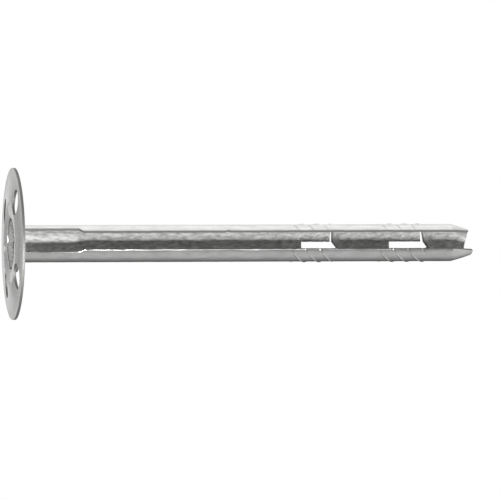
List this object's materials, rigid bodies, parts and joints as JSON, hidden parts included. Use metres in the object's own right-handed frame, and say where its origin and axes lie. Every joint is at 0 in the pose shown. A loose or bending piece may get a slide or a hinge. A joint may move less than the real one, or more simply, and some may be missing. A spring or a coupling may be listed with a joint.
{
  "type": "metal hammer-in insulation anchor",
  "caption": "Split sheet-steel sleeve with expansion slits and a tapered tip, its flared mouth seated in a round pressed head plate with holes.",
  "frame": {"origin": "centre of the head plate's face, which the anchor stands on", "axes": "+Z along the sleeve towards its tip, -Y through the sleeve's open slot"},
  "size_m": [0.035, 0.035, 0.1078],
  "materials": {
    "zinc_rolled_strip": "galvanised rolled strip, softly streaked along the sleeve",
    "zinc_pressed_plate": "galvanised pressed sheet, satin"
  },
  "bodies": {
    "root": {"split_sleeve": "zinc_rolled_strip", "head_plate": "zinc_pressed_plate"}
  },
  "joints": []
}
